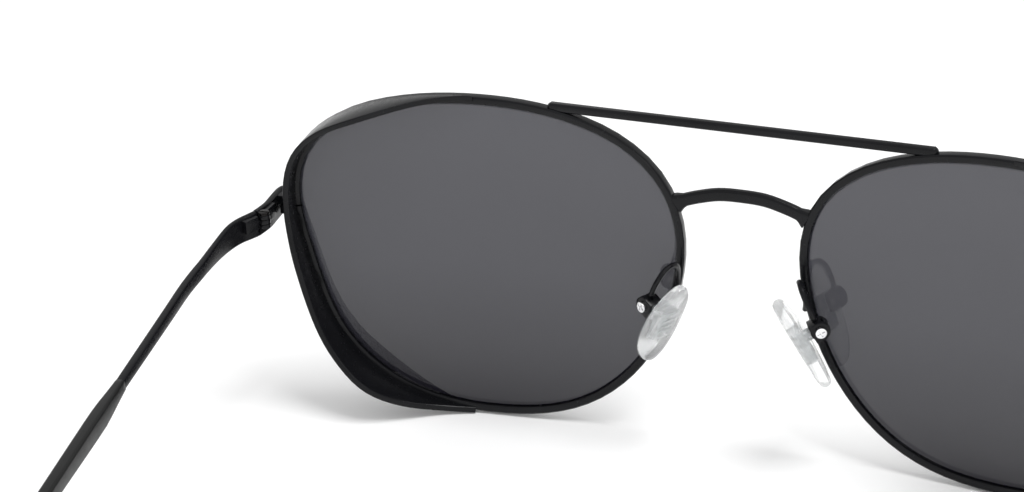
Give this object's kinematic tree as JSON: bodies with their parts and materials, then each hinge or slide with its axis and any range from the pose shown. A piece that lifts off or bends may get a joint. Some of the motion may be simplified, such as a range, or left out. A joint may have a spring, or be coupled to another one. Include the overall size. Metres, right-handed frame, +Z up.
{
  "type": "aviator sunglasses",
  "caption": "Metal aviator sunglasses with a straight brow bar, raised side shields behind dark lenses, rocking clear nose pads and folding temples with moulded tips.",
  "frame": {"origin": "on the table the open sunglasses stand on, at the centre of their bounding box in plan", "axes": "+X towards the wearer's left, -Y ahead of the wearer so the temples run to +Y, +Z up"},
  "size_m": [0.1492, 0.1509, 0.0531],
  "materials": {
    "coat": "matte black baked coat on metal",
    "lens": "polished dark grey tint",
    "tip": "satin black",
    "screw": "bright turned steel",
    "dark_screw": "blackened steel",
    "pad": "clear soft silicone",
    "pad_insert": "clear hard plastic"
  },
  "bodies": {
    "front": {"brow_bar": "coat", "nose_bridge": "coat", "left_rim": "coat", "left_side_shield": "coat", "left_lens": "lens", "left_block_upper": "coat", "left_block_lower": "coat", "left_closing_screw": "screw", "left_end_piece": "coat", "left_hinge_front": "coat", "left_hinge_screw": "dark_screw", "left_pad_arm": "coat", "left_pad_box": "coat", "left_pad_screw": "screw", "right_rim": "coat", "right_side_shield": "coat", "right_lens": "lens", "right_block_upper": "coat", "right_block_lower": "coat", "right_closing_screw": "screw", "right_end_piece": "coat", "right_hinge_front": "coat", "right_hinge_screw": "dark_screw", "right_pad_arm": "coat", "right_pad_box": "coat", "right_pad_screw": "screw"},
    "left_temple_arm": {"left_hinge_temple": "coat", "left_temple": "coat", "left_temple_tip": "tip"},
    "left_pad": {"left_nose_pad": "pad", "left_pad_insert": "pad_insert"},
    "right_temple_arm": {"right_hinge_temple": "coat", "right_temple": "coat", "right_temple_tip": "tip"},
    "right_pad": {"right_nose_pad": "pad", "right_pad_insert": "pad_insert"}
  },
  "joints": [
    {"name": "left_temple_fold", "type": "hinge", "parent": "front", "child": "left_temple_arm", "pos_m": [0.07075, -0.0607, 0.03347], "axis": [0, 0, 1], "range_deg": [0, 82]},
    {"name": "right_temple_fold", "type": "hinge", "parent": "front", "child": "right_temple_arm", "pos_m": [-0.07075, -0.0607, 0.03347], "axis": [0, 0, -1], "range_deg": [0, 78]},
    {"name": "left_pad_rock", "type": "hinge", "parent": "front", "child": "left_pad", "pos_m": [0.01298, -0.06873, 0.02397], "axis": [0.4396, 0.8977, 0.0311], "range_deg": [-8, 8]},
    {"name": "right_pad_rock", "type": "hinge", "parent": "front", "child": "right_pad", "pos_m": [-0.01298, -0.06873, 0.02397], "axis": [0.4396, -0.8977, -0.0311], "range_deg": [-8, 8]}
  ]
}
